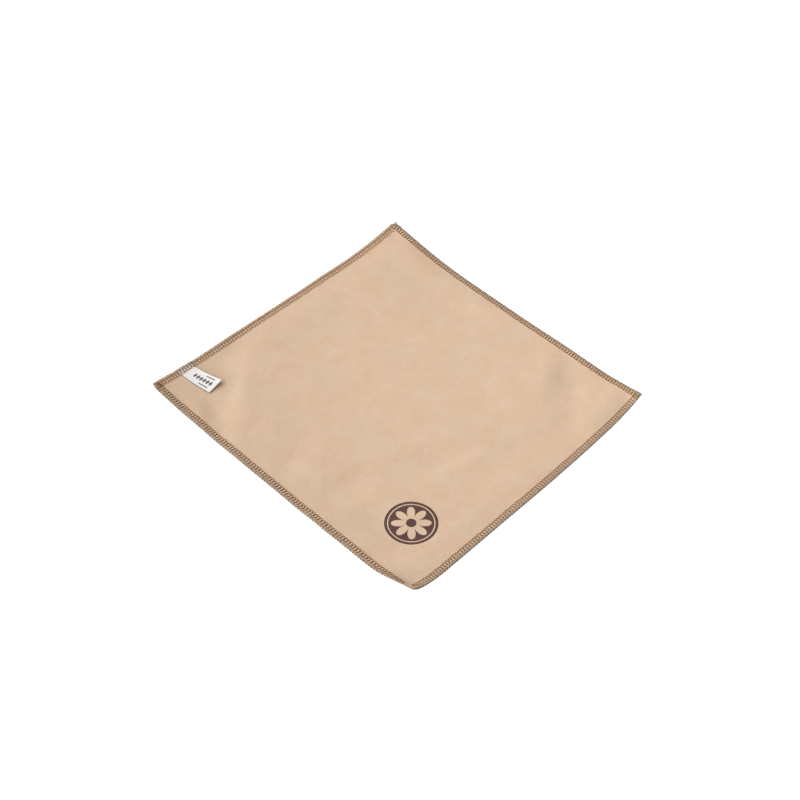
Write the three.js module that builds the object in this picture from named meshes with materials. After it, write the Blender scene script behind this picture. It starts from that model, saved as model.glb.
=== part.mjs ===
// A microfibre cleaning cloth, lying open on a flat surface with its four corners curled up.
// A thin knitted panel is overlocked along each side with three threads, and a folded satin label
// is caught in the rear seam. Millimetres, +Z up, +X to the right, -Y to the front.
import * as THREE from "three";

// The cut cloth over its seams.
const CLOTH_WIDTH = 195;
const CLOTH_DEPTH = 205;
const FABRIC_THICKNESS = 0.5;
const FABRIC_INSET = 0.3;
const FABRIC_CELL = 9.3;

// The overlocked edge, measured inwards from the outer edge.
const SEAM_WIDTH = 4.6;
const LOOP_OUTER = 0.1;
const LOOP_INNER = 4.1;
const NEEDLE_LINE = 4.35;
const STITCH_PITCH = 1.87;
const THREAD_WIDTH = 0.32;
const THREAD_HEIGHT = 0.3;
const THREAD_GAP = 0.1;
const SEAM_END_GAP = 0.6;
const FRONT_SEAM_START = 1.6;
const FLOOR_GAP = 0.05;
const EDGE_REACH = 20;

// Each corner's curl: its lift and how far in it reaches, its pull out of square, which dies away
// over the whole cloth, its own shift with that shift's reach, and how far its tip is tucked in.
const REAR_LEFT = {
  lift: 3.1,
  reach: 64,
  pullX: 0.8,
  pullY: 0.1,
  shiftX: 0.15,
  shiftY: 1.15,
  shiftReach: 33,
  tuck: 0.8,
};
const REAR_RIGHT = {
  lift: 6.9,
  reach: 70,
  pullX: 0.35,
  pullY: -1.2,
  shiftX: 0.9,
  shiftY: 1.25,
  shiftReach: 21,
  tuck: 1.3,
};
const FRONT_RIGHT = {
  lift: 4.3,
  reach: 33,
  pullX: -3,
  pullY: 2.1,
  shiftX: 0.1,
  shiftY: 1,
  shiftReach: 39,
  tuck: 0.3,
};
const FRONT_LEFT = {
  lift: 7.3,
  reach: 31,
  pullX: -0.25,
  pullY: -1.9,
  shiftX: 0.8,
  shiftY: -1.25,
  shiftReach: 43,
  tuck: 0.45,
};
const TUCK_REACH = 8;

// How far the middle of each side bows outwards.
const REAR_BOW = 1.2;
const RIGHT_BOW = -0.25;
const FRONT_BOW = 2.05;
const LEFT_BOW = 0.75;

// Soft folds: a crest through a point given as shares of the width and the depth, that runs at an
// angle in degrees from +X. Its half length, half width and height are shares of the largest.
const FOLD_HALF_LENGTH = 80;
const FOLD_HALF_WIDTH = 18;
const FOLD_HEIGHT = 1.7;
const FOLDS = [
  { placeShare: [0.165, 0.787], run: 40, lengthShare: 0.65, widthShare: 0.52, heightShare: 0.45 },
  { placeShare: [0.16, 0.68], run: 40, lengthShare: 0.65, widthShare: 1, heightShare: 0.53 },
  { placeShare: [0.122, 0.49], run: 14, lengthShare: 0.25, widthShare: 0.44, heightShare: 0.4 },
  { placeShare: [0.119, 0.423], run: 15, lengthShare: 0.31, widthShare: 0.52, heightShare: 0.41 },
  { placeShare: [0.142, 0.3], run: -17, lengthShare: 0.4, widthShare: 0.6, heightShare: 0.79 },
  { placeShare: [0.23, 0.174], run: -10, lengthShare: 0.7, widthShare: 0.72, heightShare: 0.86 },
  { placeShare: [0.398, 0.329], run: -24, lengthShare: 0.74, widthShare: 0.6, heightShare: 0.39 },
  { placeShare: [0.427, 0.207], run: -10, lengthShare: 0.85, widthShare: 0.34, heightShare: 0.28 },
  { placeShare: [0.881, 0.258], run: 28, lengthShare: 0.23, widthShare: 0.48, heightShare: 0.39 },
  { placeShare: [0.894, 0.071], run: 27, lengthShare: 0.24, widthShare: 0.77, heightShare: 1 },
  { placeShare: [0.803, 0.25], run: 53, lengthShare: 0.71, widthShare: 0.99, heightShare: 0.34 },
  { placeShare: [0.65, 0.909], run: 0, lengthShare: 1, widthShare: 0.78, heightShare: 0.49 },
  { placeShare: [0.935, 0.696], run: 92, lengthShare: 1, widthShare: 0.53, heightShare: 0.21 },
  { placeShare: [0.35, 0.06], run: -3, lengthShare: 0.91, widthShare: 0.78, heightShare: 1 },
];

// Waves along the sides: the place as a share of the side's length, and the half length, the reach
// inwards and the lift as shares of the largest.
const WAVE_HALF_LENGTH = 30;
const WAVE_REACH = 16;
const WAVE_LIFT = 1.9;
const WAVES = [
  { side: "rear", placeShare: 0.287, lengthShare: 0.5, reachShare: 1, liftShare: 0.29 },
  { side: "rear", placeShare: 0.692, lengthShare: 0.42, reachShare: 1, liftShare: 0.32 },
  { side: "right", placeShare: 0.244, lengthShare: 1, reachShare: 1, liftShare: 0.58 },
  { side: "front", placeShare: 0.359, lengthShare: 1, reachShare: 1, liftShare: 0.32 },
  { side: "left", placeShare: 0.263, lengthShare: 0.23, reachShare: 1, liftShare: 0.1 },
  { side: "left", placeShare: 0.034, lengthShare: 0.43, reachShare: 0.75, liftShare: 1 },
];
const SETTLED = 0.08;

// The satin label: a ribbon folded in half, whose two ends lie under the loops of the rear seam.
const LABEL_FROM_CORNER = 17.9;
const LABEL_WIDTH = 10;
const LABEL_LENGTH = 20.9;
const LABEL_DRIFT = 2.4;
const LABEL_BOW = 0.5;
const LABEL_PLY = 0.15;
const LABEL_ROOT_SPLIT = 0.05;
const LABEL_MIDDLE_SPLIT = 0.35;
const LABEL_GAP = 0.15;
const LABEL_NEAR_END_LIFT = 0.4;
const LABEL_FAR_END_LIFT = 3.4;
const LABEL_FAR_SIDE_LIFT = 0.5;
const LABEL_CELL = 3.4;
const TAIL_END_GAP = 0.25;
const HINGE_INSET = 5.1;
const HINGE_GAP = 0.15;

const FABRIC_COLOUR = 0xddbea3;
const NEEDLE_COLOUR = 0xb08c6a;
const LOOPER_COLOUR = 0xa58264;
const LABEL_COLOUR = 0xf0eeeb;

// Panel: a sheet that follows the table, the curls and the folds

function stepsBetween(from, to, size) {
  const count = Math.max(1, Math.round((to - from) / size));
  return Array.from({ length: count + 1 }, (_, i) => from + ((to - from) * i) / count);
}

function gridLines(length) {
  const inner = stepsBetween(SEAM_WIDTH, length - SEAM_WIDTH, FABRIC_CELL);
  return [FABRIC_INSET, ...inner, length - FABRIC_INSET];
}

const COLUMNS = gridLines(CLOTH_WIDTH);
const ROWS = gridLines(CLOTH_DEPTH);

// A corner with the distances of a point from its two sides, and the ways in from it.
function fromCorners(x, y) {
  const right = CLOTH_WIDTH - x;
  const rear = CLOTH_DEPTH - y;
  return [
    { corner: FRONT_LEFT, aside: x, off: y, wayX: 1, wayY: 1 },
    { corner: FRONT_RIGHT, aside: right, off: y, wayX: -1, wayY: 1 },
    { corner: REAR_LEFT, aside: x, off: rear, wayX: 1, wayY: -1 },
    { corner: REAR_RIGHT, aside: right, off: rear, wayX: -1, wayY: -1 },
  ];
}

// What is left of 1 at a distance, squared so that it dies away softly.
function fading(distance, reach) {
  const rest = THREE.MathUtils.clamp(1 - distance / reach, 0, 1);
  return rest * rest;
}

// The place on the table of a point of the flat cloth, from the corners and the bowed sides.
function plan(x, y) {
  const p = x / CLOTH_WIDTH;
  const q = y / CLOTH_DEPTH;
  const bowX = (RIGHT_BOW * p - LEFT_BOW * (1 - p)) * 4 * q * (1 - q);
  const bowY = (REAR_BOW * q - FRONT_BOW * (1 - q)) * 4 * p * (1 - p);
  const place = [x + bowX, y + bowY];
  for (const { corner, aside, off, wayX, wayY } of fromCorners(x, y)) {
    const pull = (1 - aside / CLOTH_WIDTH) * (1 - off / CLOTH_DEPTH);
    const shift = fading(aside + off, corner.shiftReach);
    const tuck = corner.tuck * fading(aside, TUCK_REACH) * fading(off, TUCK_REACH);
    place[0] += corner.pullX * pull + corner.shiftX * shift + wayX * tuck;
    place[1] += corner.pullY * pull + corner.shiftY * shift + wayY * tuck;
  }
  return place;
}

function bell(distance, halfLength) {
  return Math.exp(-((distance / halfLength) ** 2));
}

function fold(f, x, y) {
  const angle = THREE.MathUtils.degToRad(f.run);
  const dx = x - f.placeShare[0] * CLOTH_WIDTH;
  const dy = y - f.placeShare[1] * CLOTH_DEPTH;
  const along = dx * Math.cos(angle) + dy * Math.sin(angle);
  const across = dy * Math.cos(angle) - dx * Math.sin(angle);
  const spread = bell(along, f.lengthShare * FOLD_HALF_LENGTH) * bell(across, f.widthShare * FOLD_HALF_WIDTH);
  return f.heightShare * FOLD_HEIGHT * spread;
}

function wave(w, x, y) {
  const sides = {
    rear: { run: x, length: CLOTH_WIDTH, inset: CLOTH_DEPTH - y },
    right: { run: y, length: CLOTH_DEPTH, inset: CLOTH_WIDTH - x },
    front: { run: x, length: CLOTH_WIDTH, inset: y },
    left: { run: y, length: CLOTH_DEPTH, inset: x },
  };
  const { run, length, inset } = sides[w.side];
  const along = bell(run - w.placeShare * length, w.lengthShare * WAVE_HALF_LENGTH);
  return w.liftShare * WAVE_LIFT * along * fading(inset, w.reachShare * WAVE_REACH);
}

// The rise that leaves room for the thread under the edge.
function edgeRise(x, y) {
  const inset = Math.min(x, y, CLOTH_WIDTH - x, CLOTH_DEPTH - y);
  return (THREAD_GAP + THREAD_HEIGHT + FLOOR_GAP) * fading(inset - SEAM_WIDTH, EDGE_REACH);
}

function relief(x, y) {
  const corners = fromCorners(x, y);
  const curls = corners.map(({ corner, aside, off }) => corner.lift * fading(aside + off, corner.reach));
  const folds = FOLDS.map((f) => fold(f, x, y));
  const waves = WAVES.map((w) => wave(w, x, y));
  const height = [...curls, ...folds, ...waves].reduce((sum, rise) => sum + rise, -SETTLED);
  return Math.max(0, height) + edgeRise(x, y);
}

// Underside points of the panel, one for each crossing of a column and a row.
const UNDERSIDE = COLUMNS.map((x) => ROWS.map((y) => new THREE.Vector3(...plan(x, y), relief(x, y))));

// A cell is cut along the diagonal that lies with the curl of the nearest corner.
function risingDiagonal(i, j) {
  return i < (COLUMNS.length - 1) / 2 !== j < (ROWS.length - 1) / 2;
}

function cellOf(lines, at) {
  const last = lines.length - 2;
  const found = lines.findIndex((line) => line > at) - 1;
  return found < 0 ? (at < lines[0] ? 0 : last) : found;
}

// A point of the panel's underside, on the flat facets between its crossings.
function underside(x, y) {
  const i = cellOf(COLUMNS, x);
  const j = cellOf(ROWS, y);
  const p = (x - COLUMNS[i]) / (COLUMNS[i + 1] - COLUMNS[i]);
  const q = (y - ROWS[j]) / (ROWS[j + 1] - ROWS[j]);
  const corners = [UNDERSIDE[i][j], UNDERSIDE[i + 1][j], UNDERSIDE[i][j + 1], UNDERSIDE[i + 1][j + 1]];
  const weights = risingDiagonal(i, j)
    ? [1 - Math.max(p, q), Math.max(0, p - q), Math.max(0, q - p), Math.min(p, q)]
    : [Math.max(0, 1 - p - q), Math.min(p, 1 - q), Math.min(q, 1 - p), Math.max(0, p + q - 1)];
  return corners.reduce((sum, c, k) => sum.addScaledVector(c, weights[k]), new THREE.Vector3());
}

// A point that lies height above the panel's top face.
function overPanel(x, y, height) {
  const point = underside(x, y);
  point.z += FABRIC_THICKNESS + height;
  return point;
}

// A point that lies depth below the panel's underside.
function underPanel(x, y, depth) {
  const point = underside(x, y);
  point.z -= depth;
  return point;
}

// Solids

function solid(points, faces) {
  let volume = 0;
  for (const [a, b, c] of faces) {
    volume += points[a].dot(points[b].clone().cross(points[c]));
  }
  const facing = volume < 0 ? faces.map(([a, b, c]) => [a, c, b]) : faces;
  const geometry = new THREE.BufferGeometry();
  geometry.setAttribute("position", new THREE.Float32BufferAttribute(points.flatMap((p) => p.toArray()), 3));
  geometry.setIndex(facing.flat());
  geometry.computeVertexNormals();
  return geometry;
}

// A solid between two like grids of points, the lower and the upper, closed round its rim.
function slab(lower, upper, risingAt = () => true) {
  const rows = lower[0].length;
  const index = (i, j) => i * rows + j;
  const count = lower.length * rows;
  const faces = [];
  for (let i = 0; i + 1 < lower.length; i++) {
    for (let j = 0; j + 1 < rows; j++) {
      const [a, b, c, d] = [index(i, j), index(i + 1, j), index(i, j + 1), index(i + 1, j + 1)];
      const pair = risingAt(i, j) ? [[a, d, b], [a, c, d]] : [[a, c, b], [b, c, d]];
      for (const [k, l, m] of pair) {
        faces.push([k, l, m], [k + count, m + count, l + count]);
      }
    }
  }
  const rim = [];
  for (let i = 0; i < lower.length; i++) rim.push(index(i, 0));
  for (let j = 1; j < rows; j++) rim.push(index(lower.length - 1, j));
  for (let i = lower.length - 2; i >= 0; i--) rim.push(index(i, rows - 1));
  for (let j = rows - 2; j > 0; j--) rim.push(index(0, j));
  rim.forEach((a, k) => {
    const b = rim[(k + 1) % rim.length];
    faces.push([a, b, b + count], [a, b + count, a + count]);
  });
  return solid([...lower.flat(), ...upper.flat()], faces);
}

// A solid through a row of like rings, capped at both ends by the ring's own triangles.
function loft(rings, cap = [[0, 1, 2]]) {
  const size = rings[0].length;
  const faces = [];
  for (let i = 0; i + 1 < rings.length; i++) {
    for (let k = 0; k < size; k++) {
      const a = i * size + k;
      const b = i * size + ((k + 1) % size);
      faces.push([a, b, b + size], [a, b + size, a + size]);
    }
  }
  const last = (rings.length - 1) * size;
  for (const [a, b, c] of cap) {
    faces.push([a, c, b], [last + a, last + b, last + c]);
  }
  return solid(rings.flat(), faces);
}

function piece(name, geometry, colour, roughness) {
  const material = new THREE.MeshStandardMaterial({ color: colour, roughness, metalness: 0 });
  const mesh = new THREE.Mesh(geometry, material);
  mesh.name = name;
  return mesh;
}

function makePanel() {
  const top = UNDERSIDE.map((column) =>
    column.map((point) => point.clone().setZ(point.z + FABRIC_THICKNESS)),
  );
  return piece("cloth_panel", slab(UNDERSIDE, top, risingDiagonal), FABRIC_COLOUR, 0.95);
}

// Seams: each side is sewn by itself, and stops short of the seam that runs through to the corner

const SEAM_STOP = SEAM_WIDTH + SEAM_END_GAP;
const SEAMS = [
  { name: "rear", from: LOOP_OUTER, to: CLOTH_WIDTH - SEAM_STOP, at: (s, v) => [s, CLOTH_DEPTH - v] },
  { name: "right", from: LOOP_OUTER, to: CLOTH_DEPTH - LOOP_OUTER, at: (s, v) => [CLOTH_WIDTH - v, s] },
  { name: "front", from: FRONT_SEAM_START, to: CLOTH_WIDTH - SEAM_STOP, at: (s, v) => [s, v] },
  { name: "left", from: SEAM_STOP, to: CLOTH_DEPTH - SEAM_STOP, at: (s, v) => [v, s] },
];

// The loops over the label's ends lie higher by the label's thickness.
const TAIL_THICKNESS = 2 * LABEL_PLY;
const LABEL_END = LABEL_FROM_CORNER + LABEL_WIDTH;
function labelRise(seam, s) {
  if (seam.name !== "rear") return 0;
  const outside = Math.max(LABEL_FROM_CORNER - s, s - LABEL_END, 0);
  const share = Math.max(0, 1 - Math.max(0, outside - STITCH_PITCH / 2) / STITCH_PITCH);
  return (TAIL_THICKNESS + THREAD_GAP) * share;
}

// A looper thread runs to and fro between the needle line and the edge, a bar each way a stitch.
// Where the panel bends under a bar, the bar bends with it half way.
function looperThread(seam, startShare, place) {
  const bars = 2 * Math.round((seam.to - seam.from) / STITCH_PITCH);
  const step = (seam.to - seam.from) / bars;
  const mitre = (THREAD_WIDTH * (LOOP_INNER - LOOP_OUTER)) / (step + THREAD_WIDTH);
  const ring = (s, far) => [
    place(s, far, 0),
    place(s, far - mitre, 0),
    place(s, far - mitre / 2, THREAD_HEIGHT),
  ];
  const rings = [];
  for (let k = 0; k <= bars; k++) {
    const inner = (k + startShare) % 2 === 0;
    const end = ring(seam.from + k * step, inner ? LOOP_INNER : LOOP_OUTER + mitre);
    if (k > 0) {
      const half = ring(seam.from + (k - 1 / 2) * step, (LOOP_INNER + LOOP_OUTER + mitre) / 2);
      const straight = rings[rings.length - 1][0].clone().lerp(end[0], 1 / 2);
      if (straight.distanceTo(half[0]) > THREAD_GAP / 3) rings.push(half);
    }
    rings.push(end);
  }
  return loft(rings);
}

// The needle thread lies in a line along the inner ends of the loops.
function needleThread(seam, place) {
  const stitches = stepsBetween(seam.from, seam.to, STITCH_PITCH);
  const side = THREAD_WIDTH / 2;
  const rings = stitches.map((s) => [
    place(s, NEEDLE_LINE + side, 0),
    place(s, NEEDLE_LINE - side, 0),
    place(s, NEEDLE_LINE, THREAD_HEIGHT),
  ]);
  return loft(rings);
}

function makeSeam(seam) {
  const over = (s, v, height) => overPanel(...seam.at(s, v), THREAD_GAP + labelRise(seam, s) + height);
  const under = (s, v, depth) => underPanel(...seam.at(s, v), THREAD_GAP + depth);
  const group = new THREE.Group();
  group.name = seam.name + "_seam";
  group.add(
    piece(seam.name + "_needle_thread", needleThread(seam, over), NEEDLE_COLOUR, 0.8),
    piece(seam.name + "_upper_looper_thread", looperThread(seam, 0, over), LOOPER_COLOUR, 0.8),
    piece(seam.name + "_lower_looper_thread", looperThread(seam, 1, under), LOOPER_COLOUR, 0.8),
  );
  return group;
}

// Label

const LABEL_COLUMNS = stepsBetween(0, LABEL_WIDTH, LABEL_CELL);

function makeLabelTail() {
  const insets = [FABRIC_INSET, (SEAM_WIDTH + FABRIC_INSET) / 2, HINGE_INSET - HINGE_GAP - TAIL_END_GAP];
  const layer = (height) =>
    LABEL_COLUMNS.map((a) =>
      insets.map((v) => overPanel(LABEL_FROM_CORNER + a, CLOTH_DEPTH - v, height)),
    );
  return piece("label_tail", slab(layer(THREAD_GAP), layer(THREAD_GAP + TAIL_THICKNESS)), LABEL_COLOUR, 0.5);
}

// The flap's outline seen from the side: the lower ply out, round the fold, and the upper ply back.
function flapOutline() {
  const stations = stepsBetween(0, 1, LABEL_CELL / LABEL_LENGTH);
  const split = (share) =>
    LABEL_ROOT_SPLIT + (LABEL_MIDDLE_SPLIT - LABEL_ROOT_SPLIT) * Math.sin((Math.PI * share) / 2);
  const level = (height) => stations.map((share) => [share, height(share)]);
  const lowerOut = level(() => 0);
  const lowerIn = level(() => LABEL_PLY);
  const upperIn = level((share) => LABEL_PLY + split(share));
  const upperOut = level((share) => 2 * LABEL_PLY + split(share));
  const bend = (LABEL_PLY + LABEL_MIDDLE_SPLIT / 2) / LABEL_LENGTH;
  const crown = [1 + bend, LABEL_PLY + LABEL_MIDDLE_SPLIT / 2];
  return [...lowerOut, crown, ...upperOut.reverse(), ...upperIn, ...lowerIn.reverse()];
}

function makeLabelFlap(hinge) {
  const outline = flapOutline();
  const rings = LABEL_COLUMNS.map((a) =>
    outline.map(([share, height]) => {
      const middle = 4 * share * (1 - share);
      const x = LABEL_FROM_CORNER + a + LABEL_DRIFT * share - LABEL_BOW * middle;
      const y = CLOTH_DEPTH - HINGE_INSET - HINGE_GAP - LABEL_LENGTH * share;
      const far = a / LABEL_WIDTH;
      const endLift = LABEL_NEAR_END_LIFT * (1 - far) + LABEL_FAR_END_LIFT * far;
      const lift = LABEL_GAP + endLift * share * share + LABEL_FAR_SIDE_LIFT * far * middle;
      return overPanel(x, y, lift + height).sub(hinge);
    }),
  );
  const profile = outline.map(([share, height]) => new THREE.Vector2(share * LABEL_LENGTH, height));
  const cap = THREE.ShapeUtils.triangulateShape(profile, []);
  return piece("label_flap", loft(rings, cap), LABEL_COLOUR, 0.5);
}

function hingePoint(x) {
  return overPanel(x, CLOTH_DEPTH - HINGE_INSET, LABEL_GAP + LABEL_PLY + LABEL_ROOT_SPLIT / 2);
}

// The flap turns about the line where the label leaves the seam.
function makeLabel() {
  const start = hingePoint(LABEL_FROM_CORNER);
  const end = hingePoint(LABEL_END);
  const hinge = start.clone().add(end).multiplyScalar(0.5);
  const turning = new THREE.Group();
  turning.name = "label_hinge";
  turning.position.copy(hinge);
  turning.userData.axis = start.clone().sub(end).normalize().toArray();
  turning.add(makeLabelFlap(hinge));
  const group = new THREE.Group();
  group.name = "label";
  group.add(makeLabelTail(), turning);
  return group;
}

// Assembly: the middle of the cloth's box lies over the origin

const cloth = new THREE.Group();
cloth.name = "microfibre_cloth";
cloth.add(makePanel(), ...SEAMS.map(makeSeam), makeLabel());

const middle = new THREE.Box3().setFromObject(cloth).getCenter(new THREE.Vector3());
cloth.position.set(-middle.x, -middle.y, 0);

const part = new THREE.Group();
part.name = "microfibre_cleaning_cloth";
part.add(cloth);

export default part;
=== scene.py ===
"""A microfibre cleaning cloth that lies open with curled corners, overlocked along each side.

Flat cloth coordinates run from the front left corner: x along the front side, y along the left
one. A Lie lays them on the table. A seam's own coordinates are its run along the side and the inset
from the outer edge. All lengths are in metres, and most are written in millimetres.
"""

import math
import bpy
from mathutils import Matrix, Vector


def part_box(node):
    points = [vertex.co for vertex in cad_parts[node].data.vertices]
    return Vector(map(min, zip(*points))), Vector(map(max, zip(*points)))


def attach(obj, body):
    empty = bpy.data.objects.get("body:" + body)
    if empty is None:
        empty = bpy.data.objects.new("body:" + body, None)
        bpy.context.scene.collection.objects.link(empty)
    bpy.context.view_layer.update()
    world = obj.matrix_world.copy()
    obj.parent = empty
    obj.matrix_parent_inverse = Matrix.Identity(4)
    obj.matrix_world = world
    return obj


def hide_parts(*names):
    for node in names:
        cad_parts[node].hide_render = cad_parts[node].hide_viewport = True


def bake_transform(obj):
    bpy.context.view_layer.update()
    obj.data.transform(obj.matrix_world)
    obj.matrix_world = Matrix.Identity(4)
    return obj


bl_info = {
    "name": "Microfibre Cleaning Cloth",
    "version": (1, 0, 0),
    "blender": (4, 5, 0),
    "location": "View3D > Sidebar > Cloth",
    "description": "Makes an overlocked microfibre cloth with a satin label and a printed rosette",
    "category": "Object",
}

import bpy
import numpy as np
from bpy.props import FloatProperty, FloatVectorProperty, PointerProperty
from mathutils import Quaternion, Vector

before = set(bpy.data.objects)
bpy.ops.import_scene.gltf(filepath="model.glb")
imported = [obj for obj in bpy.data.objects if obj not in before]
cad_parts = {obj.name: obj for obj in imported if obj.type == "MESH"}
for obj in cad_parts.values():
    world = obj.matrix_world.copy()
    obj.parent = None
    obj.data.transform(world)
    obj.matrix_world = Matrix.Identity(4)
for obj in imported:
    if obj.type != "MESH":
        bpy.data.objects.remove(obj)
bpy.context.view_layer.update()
PANEL_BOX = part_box("cloth_panel")

MM = 0.001

# Each corner's curl: its lift and how far in it reaches, its pull out of square, which dies away
# over the whole cloth, its own shift, how far its tip is tucked in, and the reach of those two.
CORNERS = {
    "front_left": {
        "lift": 7.3 * MM,
        "reach": 29.8 * MM,
        "pull": (-0.25 * MM, -1.9 * MM),
        "shift": (0.8 * MM, -1.25 * MM),
        "shift_reach": 43 * MM,
        "tuck": 0.05 * MM,
        "tuck_reach": 6 * MM,
    },
    "front_right": {
        "lift": 4.3 * MM,
        "reach": 30.5 * MM,
        "pull": (-3 * MM, 2.1 * MM),
        "shift": (0.1 * MM, 1 * MM),
        "shift_reach": 39 * MM,
        "tuck": 0.6 * MM,
        "tuck_reach": 3 * MM,
    },
    "rear_left": {
        "lift": 3.0 * MM,
        "reach": 66 * MM,
        "pull": (0.8 * MM, 0.1 * MM),
        "shift": (0.15 * MM, 1.15 * MM),
        "shift_reach": 33 * MM,
        "tuck": 1.25 * MM,
        "tuck_reach": 6 * MM,
    },
    "rear_right": {
        "lift": 6.6 * MM,
        "reach": 65.2 * MM,
        "pull": (0.35 * MM, -1.2 * MM),
        "shift": (0.9 * MM, 1.25 * MM),
        "shift_reach": 21 * MM,
        "tuck": 2.3 * MM,
        "tuck_reach": 6 * MM,
    },
}

# How far the middle of each side bows outwards.
BOWS = {"rear": 1.2 * MM, "right": -0.25 * MM, "front": 2.05 * MM, "left": 0.75 * MM}

# Waves along the sides: the place and the half length along the side, the reach inwards and the
# lift.
WAVES = (
    ("rear", 56 * MM, 15 * MM, 16 * MM, 0.55 * MM),
    ("rear", 135 * MM, 12.5 * MM, 16 * MM, 0.6 * MM),
    ("right", 50 * MM, 30 * MM, 16 * MM, 1.1 * MM),
    ("left", 54 * MM, 7 * MM, 16 * MM, 0.2 * MM),
    ("front", 70 * MM, 30 * MM, 16 * MM, 0.6 * MM),
    ("left", 7 * MM, 13 * MM, 9 * MM, 2.7 * MM),
)

# Soft folds: the middle as shares of the width and depth, the run in degrees from +X, the half
# length, the half width and the height.
FOLDS = (
    ((0.11, 0.747), 41, 38.5 * MM, 8.6 * MM, 0.97 * MM),
    ((0.151, 0.691), 50, 59.0 * MM, 15.2 * MM, 1.18 * MM),
    ((0.11, 0.488), 9, 17.0 * MM, 7.5 * MM, 0.83 * MM),
    ((0.13, 0.428), 10, 19.1 * MM, 9.2 * MM, 0.96 * MM),
    ((0.146, 0.298), -18, 23.7 * MM, 9.9 * MM, 1.69 * MM),
    ((0.215, 0.177), -10, 54.0 * MM, 12.2 * MM, 1.56 * MM),
    ((0.417, 0.322), -23, 51.5 * MM, 9.8 * MM, 0.62 * MM),
    ((0.42, 0.209), -9, 85.4 * MM, 6.1 * MM, 0.54 * MM),
    ((0.871, 0.256), 31, 19.2 * MM, 9.6 * MM, 0.99 * MM),
    ((0.879, 0.087), 41, 21.4 * MM, 10.2 * MM, 1.59 * MM),
    ((0.795, 0.279), 61, 43.7 * MM, 22.0 * MM, 0.86 * MM),
    ((0.631, 0.919), 0, 68.8 * MM, 11.8 * MM, 0.93 * MM),
    ((0.942, 0.764), 91, 85.4 * MM, 9.6 * MM, 0.63 * MM),
    ((0.322, 0.061), -3, 85.0 * MM, 13.7 * MM, 1.75 * MM),
    ((0.936, 0.058), 31, 13.6 * MM, 7.9 * MM, 1.91 * MM),
    ((0.028, 0.819), 69, 15.6 * MM, 6.1 * MM, 0.99 * MM),
    ((0.142, 0.252), 10, 12.4 * MM, 22.0 * MM, -1.0 * MM),
    ((0.006, 0.346), 40, 10.0 * MM, 9.4 * MM, 0.53 * MM),
    ((0.299, 0.67), 59, 35.6 * MM, 17.2 * MM, 0.54 * MM),
    ((0.159, 0.438), 39, 30.8 * MM, 5.6 * MM, -0.11 * MM),
    ((0.826, 0.85), 14, 39.4 * MM, 22.0 * MM, 1.23 * MM),
    ((0.286, 0.953), 15, 15.5 * MM, 6.1 * MM, -0.43 * MM),
    ((0.533, 0.486), 60, 77.1 * MM, 11.3 * MM, -0.2 * MM),
)
# How far the fabric sinks below the sum of its curls and folds, and how softly it meets the table.
SETTLED = 0.08 * MM
SOFTNESS = 0.05 * MM
# The threads under the edge hold it up. Inside their width the fabric comes down over this reach.
EDGE_RISE = 0.45 * MM
EDGE_WIDTH = 4.6 * MM
EDGE_REACH = 20 * MM
# How far in the fabric's cut edge lies, inside the threads that wrap it.
CUT_INSET = 0.3 * MM
# The rounding of the cut edge, and the least angle of an edge that isn't smooth.
RIM_ROUNDING = 0.15 * MM
RIM_ANGLE = math.radians(60)

# The middle of the round print, in millimetres of the flat cloth.
PRINT_CENTRE = (36.1, 33.9)

# The camera looks at this place on the table, as seen from the flat cloth's front left corner.
AIM = (94.868 * MM, 99.526 * MM)
# The side of the floor in metres, the spread of the light from the left, and the place of the soft
# box overhead, from that same place, with its width.
FLOOR_SIDE = 6
KEY_SPREAD = math.radians(90)
TOP_PLACE = (26 * MM, 8 * MM, 300 * MM)
TOP_WIDTH = 120 * MM

# Each seam's depth as a share of the set one, and the share of that which it has at its start,
# from where it widens to the whole.
SEAM_SHARES = {"rear": (1.19, 1), "right": (1.08, 1), "front": (0.97, 1), "left": (1.05, 0.6)}
WIDENING = 11 * MM
# The outermost threads lie this far in, and the rear and the right seam start as near to their
# corner. The rear one stops beside the right one, and the others start and stop so far from theirs.
THREAD_INSET = 0.1 * MM
REAR_SEAM_GAP = 0.8 * MM
FRONT_SEAM_START = 3 * MM
FRONT_SEAM_STOP = 1.3 * MM
LEFT_SEAM_START = 7.2 * MM
LEFT_SEAM_STOP = 1.7 * MM
# How much higher the stitches lie over the label and over another seam, and in how many stitches
# they climb there.
LABEL_RISE, LABEL_CLIMB = 0.45 * MM, 0.5
CROSSING_RISE, CROSSING_CLIMB = 0.4 * MM, 0.7

# One stitch of each thread: the share of the pitch, the share of the seam's depth in from the edge
# and the level: 0.5 on the top face, -0.5 under the lower one, and 0 beside the cut edge.
UPPER_STITCH = (
    (0.00, 0.05, -0.44),
    (-0.20, 0.02, -0.30),
    (-0.26, 0.01, -0.05),
    (-0.16, 0.03, 0.34),
    (-0.13, 0.10, 0.42),
    (-0.26, 0.36, 0.46),
    (-0.22, 0.43, 0.48),
    (0.04, 0.50, 0.60),
    (0.08, 0.62, 0.50),
    (0.12, 0.80, 0.48),
    (0.22, 0.93, 0.47),
    (0.36, 0.99, 0.45),
    (0.50, 1.00, 0.42),
    (0.64, 0.99, 0.45),
    (0.78, 0.93, 0.47),
    (0.88, 0.80, 0.48),
    (0.92, 0.62, 0.50),
    (0.96, 0.50, 0.76),
    (1.22, 0.43, 0.66),
    (1.26, 0.36, 0.48),
    (1.13, 0.10, 0.42),
    (1.16, 0.03, 0.34),
    (1.26, 0.01, -0.05),
    (1.20, 0.02, -0.30),
)
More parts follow.
